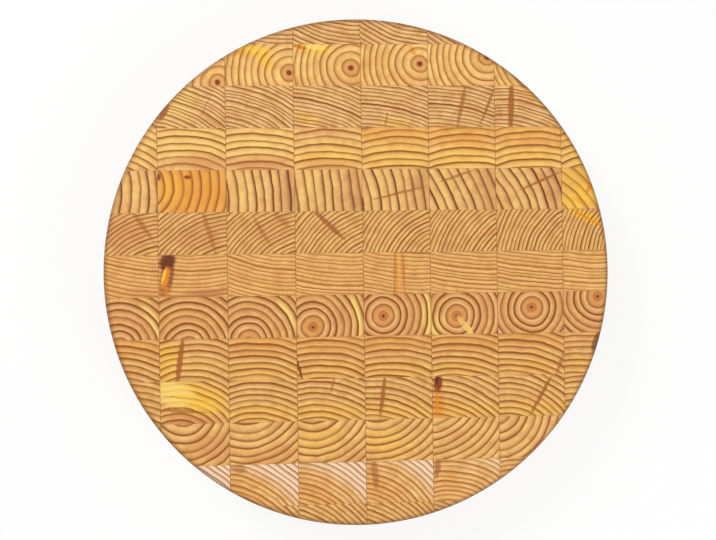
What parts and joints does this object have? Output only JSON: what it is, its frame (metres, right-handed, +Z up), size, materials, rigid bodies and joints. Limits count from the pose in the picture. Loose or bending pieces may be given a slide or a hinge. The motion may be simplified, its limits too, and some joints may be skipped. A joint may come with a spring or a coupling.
{
  "type": "round chopping block",
  "caption": "Round end-grain chopping block of small glued wood blocks in rows, with softly rounded rims, standing on rubber feet that are held by recessed screws and washers.",
  "frame": {"origin": "on the worktop, under the middle of the board", "axes": "+Z up through the chopping face, +X to the picture's right, +Y to the picture's top"},
  "size_m": [0.345, 0.345, 0.053],
  "materials": {
    "larch": "oiled, end grain",
    "glue": "thin dark line",
    "foot_rubber": "moulded, matte",
    "stainless_steel": "satin"
  },
  "bodies": {
    "root": {"block_row_04_strip_2": "larch", "block_row_04_strip_3": "larch", "block_row_04_strip_4": "larch", "block_row_04_strip_5": "larch", "block_row_04_strip_6": "larch", "block_row_04_strip_7": "larch", "block_row_05_strip_2": "larch", "block_row_05_strip_3": "larch", "block_row_05_strip_4": "larch", "block_row_05_strip_5": "larch", "block_row_05_strip_6": "larch", "block_row_05_strip_7": "larch", "block_row_06_strip_2": "larch", "block_row_06_strip_3": "larch", "block_row_06_strip_4": "larch", "block_row_06_strip_5": "larch", "block_row_06_strip_6": "larch", "block_row_06_strip_7": "larch", "block_row_07_strip_2": "larch", "block_row_07_strip_3": "larch", "block_row_07_strip_4": "larch", "block_row_07_strip_5": "larch", "block_row_07_strip_6": "larch", "block_row_07_strip_7": "larch", "block_row_08_strip_2": "larch", "block_row_08_strip_3": "larch", "block_row_08_strip_4": "larch", "block_row_08_strip_5": "larch", "block_row_08_strip_6": "larch", "block_row_08_strip_7": "larch", "block_row_09_strip_2": "larch", "block_row_09_strip_3": "larch", "block_row_09_strip_4": "larch", "block_row_09_strip_5": "larch", "block_row_09_strip_6": "larch", "block_row_09_strip_7": "larch", "block_row_10_strip_2": "larch", "block_row_10_strip_3": "larch", "block_row_10_strip_4": "larch", "block_row_10_strip_5": "larch", "block_row_10_strip_6": "larch", "block_row_10_strip_7": "larch", "back_blocks": "larch", "row_03_blocks": "larch", "row_11_blocks": "larch", "front_blocks": "larch", "left_rim_blocks": "larch", "right_rim_blocks": "larch", "strip_glue_lines": "glue", "plank_glue_lines": "glue", "foot_back_right": "foot_rubber", "foot_back_left": "foot_rubber", "foot_front_left": "foot_rubber", "foot_front_right": "foot_rubber", "foot_washers": "stainless_steel", "foot_screws": "stainless_steel"}
  },
  "joints": []
}
